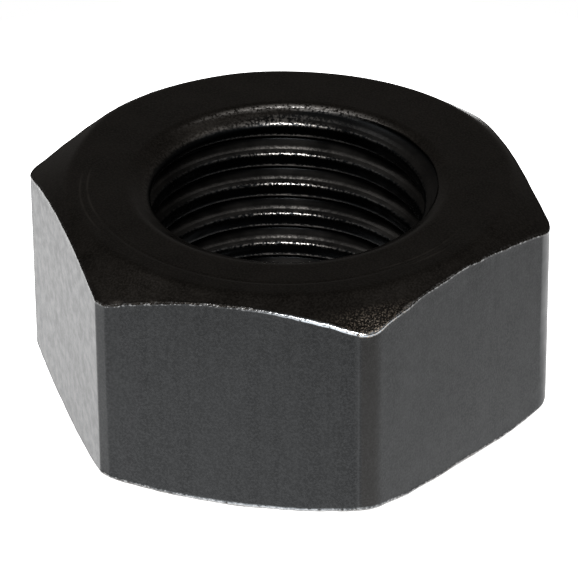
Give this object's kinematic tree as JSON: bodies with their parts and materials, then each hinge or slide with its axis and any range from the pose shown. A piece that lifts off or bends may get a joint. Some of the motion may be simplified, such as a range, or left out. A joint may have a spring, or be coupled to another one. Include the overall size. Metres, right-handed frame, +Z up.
{
  "type": "hex nut",
  "caption": "Hexagon nut with a coarse right-hand metric thread, a countersink at each end of the bore and both faces chamfered.",
  "frame": {"origin": "centre of the lower bearing face, on the thread axis", "axes": "+Z up along the thread axis; two corners of the hexagon lie on the X axis and two flats face -Y and +Y"},
  "size_m": [0.0524, 0.046, 0.024],
  "materials": {
    "black_steel": "black oxide, satin, with bare worn edges"
  },
  "bodies": {
    "root": {"hex_nut": "black_steel"}
  },
  "joints": []
}
